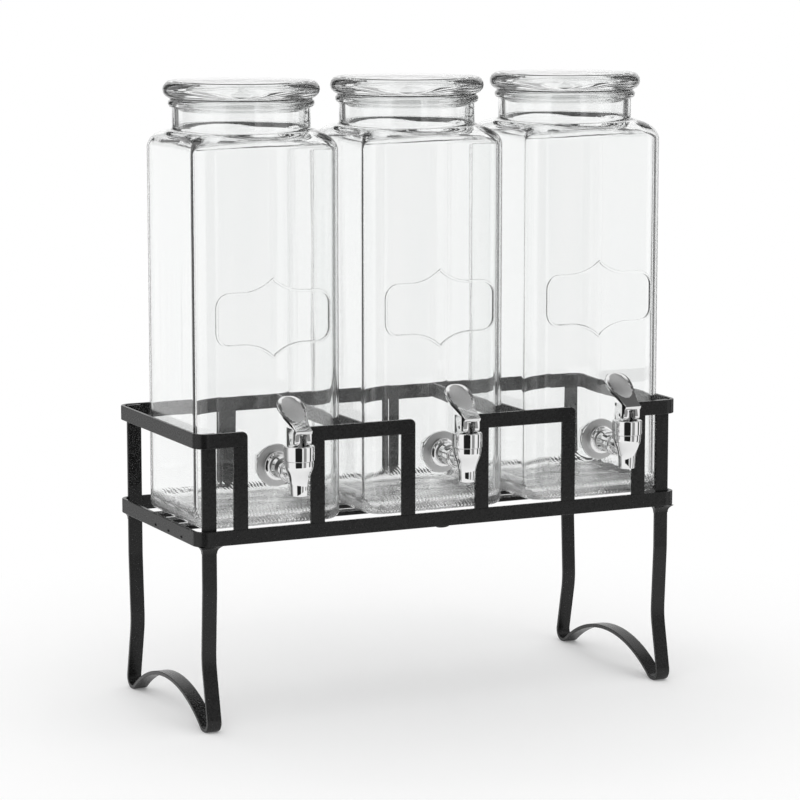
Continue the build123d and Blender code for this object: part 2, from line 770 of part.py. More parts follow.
def lever(number, jar_x):
    """Make the forked lever: a cam hub astride the stem, and the paddle on top."""
    slot_width = 2 * (stem_radius + fork_side_clearance)
    slot_height = pin_rise + hypot(stem_radius, stem_head_rise) + fork_top_clearance
    paddle = lever_paddle(jar_x)
    side_plane = Plane((jar_x, barrel_y, bonnet_top), x_dir=(0, -1, 0), z_dir=(-1, 0, 0))
    with BuildPart() as handle:
        # The cam underside is flat behind the pin and round in front of it.
        with BuildSketch(side_plane):
            with BuildLine():
                CenterArc((cam_offset, pin_rise), pin_rise, 270, 90)
                Polyline(
                    (hub_front, pin_rise),
                    (hub_front, hub_height),
                    (-hub_back, hub_height),
                    (-hub_back, 0),
                    (cam_offset, 0),
                )
            make_face()
        extrude(amount=hub_width / 2, both=True)
        fillet(handle.edges().filter_by(Axis.Z), radius=hub_edge_radius)
        add(paddle)
        slot_foot = (jar_x, barrel_y + hub_back + overrun, bonnet_top - overrun)
        with BuildSketch(Plane(slot_foot, x_dir=(1, 0, 0), z_dir=(0, -1, 0))):
            Rectangle(slot_width, slot_height + overrun, align=(Align.CENTER, Align.MIN))
        extrude(amount=hub_front + hub_back + 2 * overrun, mode=Mode.SUBTRACT)
        with BuildSketch(Plane((jar_x - hub_width, barrel_y, pin_height), z_dir=(1, 0, 0))):
            Circle(pin_radius + pin_clearance)
        extrude(amount=2 * hub_width, mode=Mode.SUBTRACT)
    save(handle, "lever_" + str(number))


for number, jar_x in enumerate(jar_xs, start=1):
    tag = "_" + str(number)
    jar(number, jar_x)
    lid(number, jar_x)
    lid_seal(number, jar_x)
    tap_body(number, jar_x)
    washer("outer_washer" + tag, jar_x, 0, outer_washer_radius)
    washer("inner_washer" + tag, jar_x, -jar_wall - washer_thickness, inner_washer_radius)
    tap_nut(number, jar_x)
    bonnet(number, jar_x)
    valve_stem(number, jar_x)
    seal_bore = stem_nub_radius + pin_clearance
    ring("stem_seal" + tag, jar_x, seal_bore, valve_seal_radius, seat_height, seal_top)
    spring_bore = stem_radius + spring_stem_gap
    spring_outside = spring_bore + spring_wall
    ring("valve_spring" + tag, jar_x, spring_bore, spring_outside, collar_top, bonnet_ceiling)
    lever_pin(number, jar_x)
    lever(number, jar_x)
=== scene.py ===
# %% [markdown]
# # Triple beverage dispenser
# Three tall pressed glass jars with glass lids and chrome lever taps stand side by side in a
# black flat bar stand. The construction model holds every piece at its real size and place.
# This script models the pieces whose curves the eye follows, finishes every surface, and sets
# up the light and the camera.

# %% Load the frame
import json
from math import atan2, cos, pi, radians, sin, tan

import bmesh
import bpy
from mathutils import Matrix, Vector
from mathutils.geometry import interpolate_bezier


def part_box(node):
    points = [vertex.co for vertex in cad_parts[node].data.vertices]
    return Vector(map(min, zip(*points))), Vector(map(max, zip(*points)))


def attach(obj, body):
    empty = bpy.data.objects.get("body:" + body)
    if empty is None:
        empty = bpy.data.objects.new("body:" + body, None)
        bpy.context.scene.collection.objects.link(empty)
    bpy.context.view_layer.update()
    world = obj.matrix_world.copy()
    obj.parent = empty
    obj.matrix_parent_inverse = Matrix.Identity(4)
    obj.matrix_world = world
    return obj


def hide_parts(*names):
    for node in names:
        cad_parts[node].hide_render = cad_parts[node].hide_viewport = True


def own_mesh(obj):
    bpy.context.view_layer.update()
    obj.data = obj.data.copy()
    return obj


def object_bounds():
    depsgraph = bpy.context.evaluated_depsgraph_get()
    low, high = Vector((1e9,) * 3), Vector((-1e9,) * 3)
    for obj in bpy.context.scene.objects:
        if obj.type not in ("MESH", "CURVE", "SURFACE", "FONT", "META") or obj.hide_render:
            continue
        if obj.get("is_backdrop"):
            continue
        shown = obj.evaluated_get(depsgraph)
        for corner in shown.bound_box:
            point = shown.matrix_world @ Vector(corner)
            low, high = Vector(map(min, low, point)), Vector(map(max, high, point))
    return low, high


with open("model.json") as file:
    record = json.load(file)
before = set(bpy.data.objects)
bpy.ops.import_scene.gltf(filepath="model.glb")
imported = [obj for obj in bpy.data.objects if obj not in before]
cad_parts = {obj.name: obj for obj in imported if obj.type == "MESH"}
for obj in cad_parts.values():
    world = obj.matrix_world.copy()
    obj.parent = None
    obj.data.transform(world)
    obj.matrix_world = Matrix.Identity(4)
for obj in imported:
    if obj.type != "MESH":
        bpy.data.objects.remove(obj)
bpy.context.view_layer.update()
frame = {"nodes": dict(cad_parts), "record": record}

print("nodes in the frame:", len(frame["nodes"]))

# %% [markdown]
# The frame is in metres, but a jar is a thing of millimetres. One named unit keeps the sizes
# below readable.

# %% Unit and shared names
MM = 0.001
scene = bpy.context.scene
numbers = (1, 2, 3)
print("jars:", len(numbers))

# %% [markdown]
# ## Finishes
# A finish is a node tree. Each one starts from the same few nodes: a Principled shader for
# the surface, the object's own coordinates so that a pattern stays on its piece, and a bump
# for the small unevenness that no mesh should hold. A texture image could do the same, but
# nodes stay sharp at any distance and need no unwrapping.

# %% Nodes and materials
def set_sockets(tree, node, sockets):
    """Set some of a node's sockets to a value, or link them to another node."""
    for socket, value in sockets.items():
        if isinstance(value, bpy.types.NodeSocket):
            tree.links.new(value, node.inputs[socket])
        else:
            node.inputs[socket].default_value = value


def add_node(tree, kind, sockets):
    """Add a shader node with some of its sockets set."""
    node = tree.nodes.new("ShaderNode" + kind)
    set_sockets(tree, node, sockets)
    return node


def new_material(name, sockets):
    """Start a material, and return it with its tree and its shader."""
    material = bpy.data.materials.new(name)
    material.use_nodes = True
    tree = material.node_tree
    shader = tree.nodes["Principled BSDF"]
    set_sockets(tree, shader, sockets)
    return material, tree, shader


# %% Patterns
noise_low = 0.3
noise_high = 0.7


def add_noise(tree, scale, detail=2.0, stretch=(1, 1, 1)):
    """Add a noise on the piece's own coordinates, squeezed by a factor along each axis."""
    place = add_node(tree, "TexCoord", {}).outputs["Object"]
    squeezed = add_node(tree, "Mapping", {"Vector": place, "Scale": stretch}).outputs["Vector"]
    noise = add_node(tree, "TexNoise", {"Vector": squeezed, "Scale": scale, "Detail": detail})
    return noise.outputs["Fac"]


def add_range(tree, source, from_low, from_high, to_low=0, to_high=1):
    """Turn one span of values into another, and hold it at its ends."""
    limits = {"From Min": from_low, "From Max": from_high, "To Min": to_low, "To Max": to_high}
    return add_node(tree, "MapRange", {"Value": source, **limits}).outputs["Result"]


def add_math(tree, operation, first, second):
    """Combine two values; the second may be a plain number."""
    step = add_node(tree, "Math", {0: first, 1: second})
    step.operation = operation
    return step.outputs["Value"]


# %% Bump, colour and gloss
def add_bump(tree, shader, height, strength, distance):
    """Raise the shading by a height pattern, on top of any bump that is already there."""
    bump = add_node(tree, "Bump", {"Strength": strength, "Distance": distance, "Height": height})
    before = shader.inputs["Normal"].links
    if before:
        tree.links.new(before[0].from_socket, bump.inputs["Normal"])
    tree.links.new(bump.outputs["Normal"], shader.inputs["Normal"])


def add_colours(tree, shader, source, dark, light):
    """Let the colour drift between two close tones."""
    ramp = add_node(tree, "ValToRGB", {"Fac": source})
    tones = ((noise_low, dark), (noise_high, light))
    for element, (position, tone) in zip(ramp.color_ramp.elements, tones):
        element.position = position
        element.color = (*tone, 1)
    tree.links.new(ramp.outputs["Color"], shader.inputs["Base Color"])


def add_gloss(tree, shader, source, least, most):
    """Let the roughness drift between two values."""
    roughness = add_range(tree, source, noise_low, noise_high, least, most)
    tree.links.new(roughness, shader.inputs["Roughness"])


# %% [markdown]
# The jars are pressed from clear soda-lime glass. A mould leaves the walls a little uneven,
# so straight lines behind them waver, mostly from side to side. A noise that is stretched
# upwards gives that as a weak bump. The foot of a jar comes out rougher: folds and swirls lie
# in the base, and the mould's edge has a fine knurl of slanting ribs. Both are weighed by the
# height above the base, so that they fade out where the plain wall begins.

# %% Sizes of the glass's patterns
glass_ior = 1.5
clearness = 0.985
glass_tones = ((0.972, 0.98, 0.978), (0.988, 0.992, 0.99))
glass_roughness = 0.02
streak_scale = 70
streak_detail = 1.5
upright_stretch = (1, 1, 0.1)
jar_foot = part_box("jar_1")[0].z
foot_zone = 16 * MM
swirl_scale = 52
swirl_detail = 2.4
swirl_stretch = (1, 0.5, 0.6)
swirl_warp = 1.1
swirl_depth = 3.4 * MM
knurl_pitch = 2.8 * MM
knurl_warp = 1.5
knurl_depth = 0.35 * MM
wave_rate = 10


# %% Knurl
def add_knurl(tree):
    """Add fine slanting ribs. A wave texture of scale 1 turns by wave_rate radians a metre."""
    place = add_node(tree, "TexCoord", {}).outputs["Object"]
    density = {"Scale": 2 * pi / (wave_rate * knurl_pitch), "Distortion": knurl_warp, "Detail": 1}
    ribs = add_node(tree, "TexWave", {"Vector": place, **density})
    ribs.bands_direction = "DIAGONAL"
    return ribs.outputs["Fac"]


# %% Clear glass
def clear_glass(name, streak_depth, with_foot=False):
    """Make clear pressed glass, with a lively foot where a jar needs it."""
    sockets = {"Transmission Weight": clearness, "IOR": glass_ior}
    material, tree, shader = new_material(name, sockets)
    streaks = add_noise(tree, streak_scale, streak_detail, upright_stretch)
    add_colours(tree, shader, streaks, *glass_tones)
    add_gloss(tree, shader, streaks, 0, glass_roughness)
    add_bump(tree, shader, streaks, 1.0, streak_depth)
    if with_foot:
        place = add_node(tree, "TexCoord", {}).outputs["Object"]
        height = add_node(tree, "SeparateXYZ", {"Vector": place}).outputs["Z"]
        zone = add_range(tree, height, jar_foot, jar_foot + foot_zone, 1, 0)
        swirl = add_noise(tree, swirl_scale, swirl_detail, swirl_stretch)
        swirl.node.inputs["Distortion"].default_value = swirl_warp
        add_bump(tree, shader, add_math(tree, "MULTIPLY", swirl, zone), 1.0, swirl_depth)
        knurl = add_math(tree, "MULTIPLY", add_knurl(tree), zone)
        add_bump(tree, shader, knurl, 1.0, knurl_depth)
    print(name, "shader nodes:", len(tree.nodes))
    return material


jar_glass = clear_glass("jar glass", 0.12 * MM, with_foot=True)
lid_glass = clear_glass("lid glass", 0.25 * MM)

# %% [markdown]
# Every other finish differs from the next in few things: two close tones, how its gloss
# varies, how coarse and deep its grain is, and whether it is a metal. One function makes them
# all. Its sockets are the few values that only some finishes need.

# %% The other finishes
grain_detail = 4
grain_strength = 0.5
metal = {"Metallic": 1}
low_sheen = {"Specular IOR Level": 0.36}
clear_rubber = {"Transmission Weight": 1, "IOR": 1.41}


def plain_finish(name, tones, gloss, grain, depth, sockets):
    """Make a finish whose tone, gloss and height drift a little over the surface."""
    material, tree, shader = new_material(name, sockets)
    noise = add_noise(tree, grain, grain_detail)
    dark, light = tones
    add_colours(tree, shader, noise, (dark,) * 3, (light,) * 3)
    add_gloss(tree, shader, noise, *gloss)
    add_bump(tree, shader, noise, grain_strength, depth)
    return material


powder_coat = plain_finish("black powder coat", (0.006, 0.012), (0.22, 0.34), 700, 0.08 * MM, low_sheen)
chrome = plain_finish("chrome", (0.80, 0.86), (0.02, 0.06), 90, 0.015 * MM, metal)
satin_chrome = plain_finish("satin chrome", (0.55, 0.62), (0.34, 0.42), 900, 0.01 * MM, metal)
rubber = plain_finish("seal rubber", (0.62, 0.70), (0.5, 0.7), 500, 0.05 * MM, {})
brass = plain_finish("valve brass", (0.45, 0.55), (0.2, 0.35), 400, 0.02 * MM, metal)
steel = plain_finish("steel", (0.50, 0.60), (0.15, 0.3), 400, 0.02 * MM, metal)
silicone = plain_finish("silicone", (0.96, 0.99), (0.03, 0.08), 300, 0.02 * MM, clear_rubber)
print("finishes made:", len(bpy.data.materials))

# %% [markdown]
# The record says which finish each node has, so the nodes that stay visible as they are can
# be painted in one loop.

# %% Paint the nodes
finishes = {
    "black_powder_coat": powder_coat,
    "clear_glass": jar_glass,
    "silicone": silicone,
    "chrome": chrome,
    "seal_rubber": rubber,
    "valve_brass": brass,
    "steel": steel,
}
for entry in frame["record"]["subparts"]:
    mesh = frame["nodes"][entry["node"]].data
    mesh.materials.clear()
    mesh.materials.append(finishes[entry["material_slot"]])

# %% [markdown]
# ## Tools for shapes
# Most of this object is either turned, such as a lid or a tap barrel, or grown ring by ring,
# such as a square jar with a round neck. A turned piece needs one outline and a spin. The
# outline is written with few corners, each with its own rounding, because sharp corners on
# glass or chrome catch no light.

# %% Round the corners of an outline
arc_turn = radians(12)


def soften(corners, closed=False):
    """Round the corners of an outline that is given as places with a radius each."""
    places = []
    last = len(corners) - 1
    for index, (x, z, radius) in enumerate(corners):
        corner = Vector((x, z))
        if radius == 0 or (not closed and index in (0, last)):
            places.append(corner)
            continue
        before = (Vector(corners[index - 1][:2]) - corner).normalized()
        after = (Vector(corners[(index + 1) % len(corners)][:2]) - corner).normalized()
        opening = before.angle(after)
        centre = corner + (before + after).normalized() * (radius / sin(opening / 2))
        start = corner + before * (radius / tan(opening / 2)) - centre
        end = corner + after * (radius / tan(opening / 2)) - centre
        steps = max(2, round((pi - opening) / arc_turn))
        for step in range(steps + 1):
            places.append(centre + start.slerp(end, step / steps) * radius)
    return places


# %% Turn an outline
turned_segments = 128
merge_distance = 0.002 * MM
lying = Matrix.Rotation(pi / 2, 4, "X")


def point_outwards(bm):
    """Make every face of a closed shape point outwards."""
    bmesh.ops.recalc_face_normals(bm, faces=bm.faces)


def turn(outline, closed=False):
    """Spin an outline of radii and heights once round the upright axis."""
    bm = bmesh.new()
    verts = [bm.verts.new((radius, 0, height)) for radius, height in outline]
    edges = [bm.edges.new(pair) for pair in zip(verts, verts[1:])]
    if closed:
        edges.append(bm.edges.new((verts[-1], verts[0])))
    bmesh.ops.spin(
        bm,
        geom=verts + edges,
        cent=(0, 0, 0),
        axis=(0, 0, 1),
        angle=2 * pi,
        steps=turned_segments,
        use_merge=True,
    )
    bmesh.ops.remove_doubles(bm, verts=bm.verts, dist=merge_distance)
    point_outwards(bm)
    return bm


# %% [markdown]
# A finished bmesh becomes a loose object first, so that modifiers can still join it with
# another shape. Boolean modifiers with the exact solver weld two closed shapes into one skin.
# Glass needs that: a rib that only stood on the wall would show a second surface inside it.

# %% From bmesh to object
def add_object(name, data):
    """Put an object that shows some data into the scene."""
    thing = bpy.data.objects.new(name, data)
    scene.collection.objects.link(thing)
    return thing


def loose_object(name, bm):
    """Turn a bmesh into an object."""
    mesh = bpy.data.meshes.new(name)
    bm.to_mesh(mesh)
    bm.free()
    return add_object(name, mesh)


# %% Finish a modifier, and join two objects
def evaluated_mesh(thing):
    """Return the mesh that an object shows once its modifiers or its bevel have run."""
    graph = bpy.context.evaluated_depsgraph_get()
    return bpy.data.meshes.new_from_object(thing.evaluated_get(graph))


def apply_modifiers(thing):
    """Give an object the mesh that its modifiers make, and remove them."""
    result = evaluated_mesh(thing)
    thing.modifiers.clear()
    thing.data = result


def combine(thing, other, operation):
    """Join a closed object with another, or cut it, and keep only the result."""
    step = thing.modifiers.new(operation, "BOOLEAN")
    step.operation = operation
    step.solver = "EXACT"
    step.object = other
    apply_modifiers(thing)
    bpy.data.objects.remove(other)


# %% [markdown]
# The three jars are alike, and so are their lids and taps. Each shape is modelled once about
# its own axis, and each jar gets a copy, which rides on its body and replaces its node.

# %% The upright axes
def jar_axis(number):
    """Return the place on the floor below the middle of a jar."""
    low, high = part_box(f"jar_{number}")
    half = (high.x - low.x) / 2
    return Vector(((low.x + high.x) / 2, high.y - half, 0))


def barrel_axis(number):
    """Return the place on the floor below the middle of a tap's barrel."""
    low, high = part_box(f"bonnet_{number}")
    return Vector(((low.x + high.x) / 2, (low.y + high.y) / 2, 0))


# %% [markdown]
# Each copy keeps the finishes of its faces. Clear glass casts no shadow, because its real
# one is mostly light, which the renderer would need many more samples to find.

# %% Put a copy at every jar
sharp_angle = radians(38)


def smooth(mesh):
    """Shade a mesh smooth but for its sharp edges."""
    mesh.shade_smooth()
    mesh.set_sharp_from_angle(angle=sharp_angle)


def put_copies(thing, axis, body, node, slot, *coats):
    """Give every jar its own copy of a finished shape, and return the copies."""
    pieces = []
    for number in numbers:
        mesh = thing.data.copy()
        mesh.transform(Matrix.Translation(axis(number)))
        which = [face.material_index for face in mesh.polygons]
        mesh.materials.clear()
        for coat in coats:
            mesh.materials.append(coat)
        mesh.polygons.foreach_set("material_index", which)
        smooth(mesh)
        piece = add_object(f"{thing.name}_{number}", mesh)
        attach(piece, f"{body}_{number}")
        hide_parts(f"{node}_{number}")
        piece.visible_shadow = slot != "clear_glass"
        pieces.append(piece)
    print(thing.name, "faces each:", len(thing.data.polygons))
    bpy.data.objects.remove(thing)
    return pieces


# %% [markdown]
# ## The jar
# A pressed jar is square below and round at its neck. A subdivision cage would need care to
# keep the walls flat, and a lofted solid gives no control over the shoulder. Here the skin
# grows ring by ring from the middle of the foot: up the wall, over the shoulder, round the
# mouth and down the inside to the floor. Every ring has the same number of vertices, closer
# together in the corners, where the glass bends the light most. Without the narrow border
# round each flat wall, smooth shading would tilt the light along the whole of it.

# %% Rings for a rounded square
flat_shares = (0, 0.25, 0.5, 0.75)
flat_border = 0.4 * MM
arc_steps = 12


def square_places(half_side, corner_radius):
    """Return the places along a rounded square about the middle of the jar."""
    straight = half_side - corner_radius
    flat = [(half_side, straight * share) for share in flat_shares]
    flat.append((half_side, straight - flat_border))
    angles = [pi / 2 * step / arc_steps for step in range(arc_steps + 1)]
    arc = [(straight + corner_radius * cos(a), straight + corner_radius * sin(a)) for a in angles]
    quarter = flat + arc + [(y, x) for x, y in reversed(flat[1:])]
    places = []
    for turns in range(4):
        spin = Matrix.Rotation(turns * pi / 2, 2)
        places += [spin @ Vector(place) for place in quarter]
    return places


def circle_places(like, radius):
    """Return the places on a circle that lie in the same directions as another ring."""
    return [place.normalized() * radius for place in like]


# %% Grow ring by ring
def grow_ring(bm, rim, places, height):
    """Extrude the open rim and lay its new vertices on a ring of places."""
    edges = [bm.edges.get(pair) for pair in zip(rim, rim[1:] + rim[:1])]
    made = bmesh.ops.extrude_edge_only(bm, edges=edges)["geom"]
    fresh = {item for item in made if isinstance(item, bmesh.types.BMVert)}
    grown = []
    for vert, place in zip(rim, places):
        others = [edge.other_vert(vert) for edge in vert.link_edges]
        new = next(other for other in others if other in fresh)
        new.co = (*place, height)
        grown.append(new)
    return grown


def grow_block(bm, rows):
    """Grow a closed block from rings of places, each with its height."""
    places, height = rows[0]
    rim = bmesh.ops.create_circle(bm, cap_ends=True, radius=1, segments=len(places))["verts"]
    for vert, place in zip(rim, places):
        vert.co = (*place, height)
    for places, height in rows[1:]:
        rim = grow_ring(bm, rim, places, height)
    bmesh.ops.contextual_create(bm, geom=rim)


# %% The jar's sizes
low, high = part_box("jar_1")
jar_half = (high.x - low.x) / 2
mouth_top = high.z
corner_radius = 16 * MM
wall = 4 * MM
base_thickness = 6 * MM
heel_radius = 5.5 * MM
inner_heel_radius = 5 * MM
push_up = 1.8 * MM
push_up_inset = 8 * MM
foot_ring_inset = 3 * MM
middle_half = 6 * MM
middle_corner = 3 * MM
shoulder_top = jar_foot + 287 * MM
shoulder_rise = 14 * MM
shoulder_fullness = 1.9
neck_radius = 51.2 * MM
neck_bore = 46.7 * MM
neck_fillet = 2.5 * MM
bead_radius = 54.1 * MM
bead_height = 5.6 * MM
bead_round = 2.4 * MM
bead_foot_round = 0.8 * MM
print("jar height in mm:", round((mouth_top - jar_foot) / MM, 1))


# %% Shoulder and heel
def shoulder_rings(outer, neck, foot, rise, steps=16):
    """Return rings that swing from a wall over the shoulder to the foot of the neck."""
    rings = []
    for step in range(1, steps + 1):
        angle = pi / 2 * step / steps
        inward = 1 - cos(angle) ** (2 / shoulder_fullness)
        upward = sin(angle) ** (2 / shoulder_fullness)
        places = [wall_place.lerp(neck_place, inward) for wall_place, neck_place in zip(outer, neck)]
        rings.append((places, foot + rise * upward))
    return rings


def heel_rings(half_side, corner, radius, foot, steps=7):
    """Return rings that swing from the foot's flat up to the wall."""
    rings = []
    for step in range(steps + 1):
        angle = pi / 2 * step / steps
        inset = radius * (1 - sin(angle))
        rings.append((square_places(half_side - inset, corner - inset), foot + radius * (1 - cos(angle))))
    return rings


# %% The jar's rings
def jar_rings():
    """List the rings of the whole skin, from the middle of the foot to the inner floor."""
    outside = square_places(jar_half, corner_radius)
    inside = square_places(jar_half - wall, corner_radius - wall)
    neck = circle_places(outside, neck_radius + neck_fillet)
    bore = circle_places(inside, neck_bore)
    floor_height = jar_foot + base_thickness
    foot_half = jar_half - heel_radius
    foot_corner = corner_radius - heel_radius
    rings = [
        (square_places(foot_half / 2, foot_corner), jar_foot + push_up),
        (square_places(foot_half - push_up_inset, foot_corner), jar_foot + push_up),
        (square_places(foot_half - foot_ring_inset, foot_corner), jar_foot),
    ]
    rings += heel_rings(jar_half, corner_radius, heel_radius, jar_foot)
    shoulder_foot = shoulder_top - shoulder_rise
    for height in (jar_foot + heel_radius + flat_border, shoulder_foot - flat_border, shoulder_foot):
        rings.append((outside, height))
    rings += shoulder_rings(outside, neck, shoulder_foot, shoulder_rise)

    # The neck and the mouth are round from here on.
    mouth = soften(
        [
            (neck_radius + neck_fillet, shoulder_top, 0),
            (neck_radius, shoulder_top, neck_fillet),
            (neck_radius, mouth_top - bead_height, bead_foot_round),
            (bead_radius, mouth_top - bead_height, bead_round),
            (bead_radius, mouth_top, bead_round),
            (neck_bore, mouth_top, bead_round / 2),
            (neck_bore, shoulder_top - wall, 0),
        ]
    )
    rings += [(circle_places(outside, radius), height) for radius, height in mouth[1:]]

    # The inside repeats the outside in reverse, a wall's thickness further in.
    rings += reversed(shoulder_rings(inside, bore, shoulder_foot, shoulder_rise - wall)[:-1])
    inner_heel_top = floor_height + inner_heel_radius
    for height in (shoulder_foot, shoulder_foot - flat_border, inner_heel_top + flat_border):
        rings.append((inside, height))
    inner_heel = heel_rings(jar_half - wall, corner_radius - wall, inner_heel_radius, floor_height)
    rings += reversed(inner_heel)
    rings.append((square_places(foot_half / 2, foot_corner), floor_height + push_up / 2))
    return rings


# %% Grow the jar's skin
middle = square_places(middle_half, middle_corner)
rings = [(middle, jar_foot + push_up)] + jar_rings()
rings.append((middle, jar_foot + base_thickness + push_up))
bm = bmesh.new()
grow_block(bm, rings)
point_outwards(bm)
glass_jar = loose_object("glass_jar", bm)
print("jar rings:", len(rings))

# %% [markdown]
# A raised frame decorates the front wall: a rectangle with round corners and an ogee point
# above and below. Only a quarter of its line is worked out, and mirrored twice. A round bead
# along that line stands out of the wall by about half and is welded to it.

# %% The ornament
ornament_height = 302.4 * MM
ornament_half = Vector((44.4, 19)) * MM
ornament_corner = 10 * MM
brow_half = 24 * MM
brow_rise = 9.6 * MM
rib_radius = 1.1 * MM
rib_sink = -0.1 * MM
corner_steps = 8
brow_steps = 12


def ornament_outline():
    """Return the frame's outline: round corners, and an ogee point above and below."""
    brow_radius = (brow_half**2 + brow_rise**2) / (2 * brow_rise)
    brow_angle = atan2(brow_half, brow_radius - brow_rise)
    quarter = []
    for step in range(corner_steps + 1):
        angle = pi / 2 * step / corner_steps
        centre = ornament_half - Vector((ornament_corner, ornament_corner))
        quarter.append(centre + ornament_corner * Vector((cos(angle), sin(angle))))
    for step in range(brow_steps + 1):
        angle = brow_angle * step / brow_steps
        across = brow_half - brow_radius * sin(angle)
        quarter.append(Vector((across, ornament_half.y + brow_radius * (1 - cos(angle)))))
    left_top = [Vector((-p.x, p.y)) for p in reversed(quarter[:-1])]
    top = quarter + left_top
    return top + [Vector((-p.x, -p.y)) for p in top]


# %% Lay a bead along a line
def tube(name, places, radius, loop=True):
    """Lay a round bead or wire along a row of places."""
    curve = bpy.data.curves.new(name, "CURVE")
    curve.dimensions = "3D"
    curve.bevel_depth = radius
    curve.bevel_resolution = 3
    curve.use_fill_caps = not loop
    spline = curve.splines.new("POLY")
    spline.points.add(len(places) - 1)
    for point, place in zip(spline.points, places):
        point.co = (*place, 1)
    spline.use_cyclic_u = loop
    holder = add_object(name, curve)
    mesh = evaluated_mesh(holder)
    bpy.data.objects.remove(holder)
    return add_object(name, mesh)


# %% Join the jar and its ornament
rib_line = [(p.x, rib_sink - jar_half, ornament_height + p.y) for p in ornament_outline()]
combine(glass_jar, tube("rib", rib_line, rib_radius), "UNION")
print("points of the ornament:", len(rib_line))

# %% Bore the tap hole
washer_low, washer_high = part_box("outer_washer_1")
tap_height = (washer_low.z + washer_high.z) / 2
hole_radius = 8.3 * MM


def level_prism(radius, depth, segments, centre=(0, 0, 0)):
    """Make a prism, or a cylinder, that lies level from front to back."""
    bm = bmesh.new()
    bmesh.ops.create_cone(
        bm,
        cap_ends=True,
        segments=segments,
        radius1=radius,
        radius2=radius,
        depth=depth,
        matrix=Matrix.Translation(centre) @ lying,
    )
    return bm


hole = level_prism(hole_radius, 4 * wall, turned_segments, (0, -jar_half, tap_height))
combine(glass_jar, loose_object("hole", hole), "DIFFERENCE")
put_copies(glass_jar, jar_axis, "jar", "jar", "clear_glass", jar_glass)

# %% [markdown]
# ## The lid
# The lid is pressed like a thick plate. A fat round rim runs round a flat top, a shallow
# groove parts the two, and a hollow plug below drops into the jar's neck. One outline is spun.
# A subdivided cylinder would come out softer, but the groove and the plug need their edges.

# %% The lid's sizes
plug_foot, lid_top = [corner.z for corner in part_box("lid_1")]
rim_radius = 51.5 * MM
rim_round = 6.4 * MM
rim_start = 70
rim_end = -90
rim_turn = 8
plate_thickness = 6.5 * MM
plateau_radius = 49.6 * MM
plateau_round = 0.5 * MM
groove_radius = 50.7 * MM
groove_depth = 0.9 * MM
plug_radius = 45.6 * MM
plug_bore = 41.0 * MM
plug_round = 1.6 * MM
print("lid height in mm:", round((lid_top - plug_foot) / MM, 1))

# %% Turn the lid
rim_middle = Vector((rim_radius, lid_top - rim_round))
lid_underside = lid_top - 2 * rim_round
hollow_top = lid_top - plate_thickness
rim_angles = [radians(angle) for angle in range(rim_start, rim_end - 1, -rim_turn)]
rim_places = [rim_middle + rim_round * Vector((cos(a), sin(a))) for a in rim_angles]
groove = (groove_radius, lid_top - groove_depth, 0)
top_places = soften([(0, lid_top, 0), (plateau_radius, lid_top, plateau_round), groove])
plug_places = soften(
    [
        (*rim_places[-1], 0),
        (plug_radius, lid_underside, plug_round / 2),
        (plug_radius, plug_foot, plug_round),
        (plug_bore, plug_foot, plug_round),
        (plug_bore, hollow_top, plug_round),
        (0, hollow_top, 0),
    ]
)
glass_lid = loose_object("glass_lid", turn(top_places + rim_places + plug_places[1:]))
put_copies(glass_lid, jar_axis, "lid", "lid", "clear_glass", lid_glass)

# %% [markdown]
# A clear silicone ring seals the lid. Its flange lies on the mouth and its skirt grips the
# plug. It is turned too, a hair's breadth clear of the glass on every side, because two
# clear surfaces in the very same place would flicker in the render.

# %% Turn the gasket
seal_low, seal_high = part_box("lid_seal_1")
hair = 0.06 * MM
seal_inside = 45.65 * MM + hair
skirt_outside = 46.4 * MM - hair
flange_outside = 52.65 * MM - hair
seal_top = seal_high.z - hair
gasket_outline = [
    (seal_inside, seal_top, 0.2 * MM),
    (flange_outside, seal_top, 0.3 * MM),
    (flange_outside, mouth_top + hair, 0.3 * MM),
    (skirt_outside, mouth_top + hair, 0.1 * MM),
    (skirt_outside, seal_low.z, 0.2 * MM),
    (seal_inside, seal_low.z, 0.2 * MM),
]
gasket = loose_object("gasket", turn(soften(gasket_outline, closed=True), closed=True))
put_copies(gasket, jar_axis, "lid", "lid_seal", "silicone", silicone)

# %% [markdown]
# ## The tap
# The tap is a chromed casting of two turned shapes that meet: a level shank with its bell
# flange and rings, and an upright barrel that tapers into the nozzle. Both are spun from an
# outline and joined with an exact Boolean, and the drink's way is cut through them. Small
# rounds on every corner matter here more than anywhere else, since chrome shows a corner
# only by the light line that runs along its round.

# %% The shank's sizes
barrel_reach = 45.3 * MM
thread_radius = 8.0 * MM
thread_end = -13.5 * MM
flange_radius = 15.8 * MM
flange_back = 2.0 * MM
flange_front = 4.2 * MM
bell_radius = 11.0 * MM
shank_radius = 7.4 * MM
collar_radius = 8.7 * MM
collar_back = 26.0 * MM
collar_front = 30.0 * MM


def lay_level(corners):
    """Turn an outline, whose places count forwards from the jar's wall, about the shank's line."""
    bm = turn(soften(corners))
    bmesh.ops.transform(bm, verts=bm.verts, matrix=lying)
    bmesh.ops.translate(bm, verts=bm.verts, vec=(0, barrel_reach, tap_height))
    return bm


